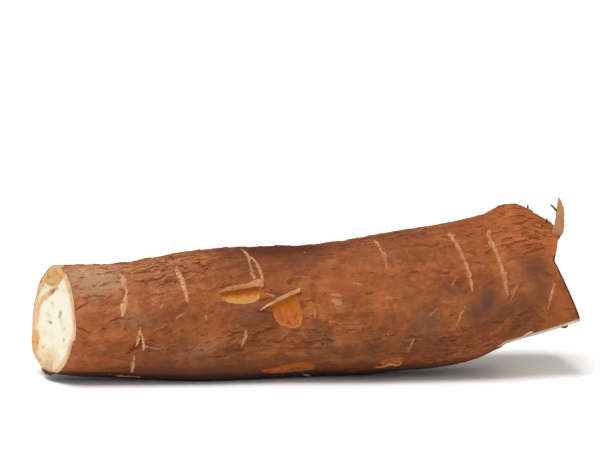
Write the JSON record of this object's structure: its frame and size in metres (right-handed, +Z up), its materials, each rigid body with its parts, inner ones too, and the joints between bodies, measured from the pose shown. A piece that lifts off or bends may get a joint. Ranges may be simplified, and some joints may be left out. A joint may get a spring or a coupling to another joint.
{
  "type": "cassava root",
  "caption": "Tapered brown cassava root lying on its side, with a clean knife cut at the thin end showing white flesh and a rough chopped neck at the other",
  "frame": {"origin": "centre of the bounding box in plan, at the height of the surface the root rests on", "axes": "+X runs along the root from the thin knife-cut end to the chopped neck, +Z is up, and the pictured side faces -Y"},
  "size_m": [0.2606, 0.0728, 0.0871],
  "materials": {
    "bark": "rough matte brown bark, with matte cream-white flesh on the two cut ends"
  },
  "bodies": {
    "root": {"cassava_root": "bark"}
  },
  "joints": []
}
